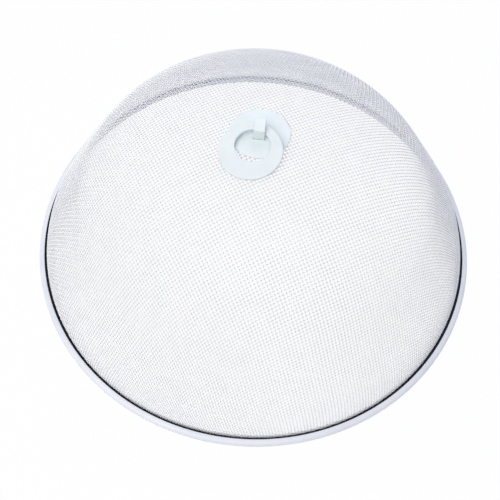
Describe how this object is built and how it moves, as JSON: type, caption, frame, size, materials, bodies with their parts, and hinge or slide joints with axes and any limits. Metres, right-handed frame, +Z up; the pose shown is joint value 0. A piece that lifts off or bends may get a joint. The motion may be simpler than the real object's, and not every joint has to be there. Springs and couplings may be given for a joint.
{
  "type": "wire mesh food cover",
  "caption": "Round domed food cover of white wire mesh in a rolled hoop, with a flap ring on its crown to lift it by.",
  "frame": {"origin": "centre of the circle that the hoop stands on, at table level", "axes": "+Z up through the crown of the dome; the ring hinges about a line along X and lies towards -Y at rest"},
  "size_m": [0.3, 0.3, 0.1187],
  "materials": {
    "hoop_paint": "satin",
    "cloth_paint": "satin",
    "wire_steel": "dull",
    "fitting_paint": "satin",
    "ring_paint": "satin"
  },
  "bodies": {
    "cover": {"rim_hoop": "hoop_paint", "mesh_dome": "cloth_paint", "edge_wire": "wire_steel", "base_plate": "fitting_paint", "inner_plate": "fitting_paint", "ring_strap": "fitting_paint"},
    "ring": {"pull_ring": "ring_paint"}
  },
  "joints": [
    {"name": "ring_flip", "type": "hinge", "parent": "cover", "child": "ring", "pos_m": [0, 0, 0.11496], "axis": [-1, 0, 0], "range_deg": [0, 161]}
  ]
}
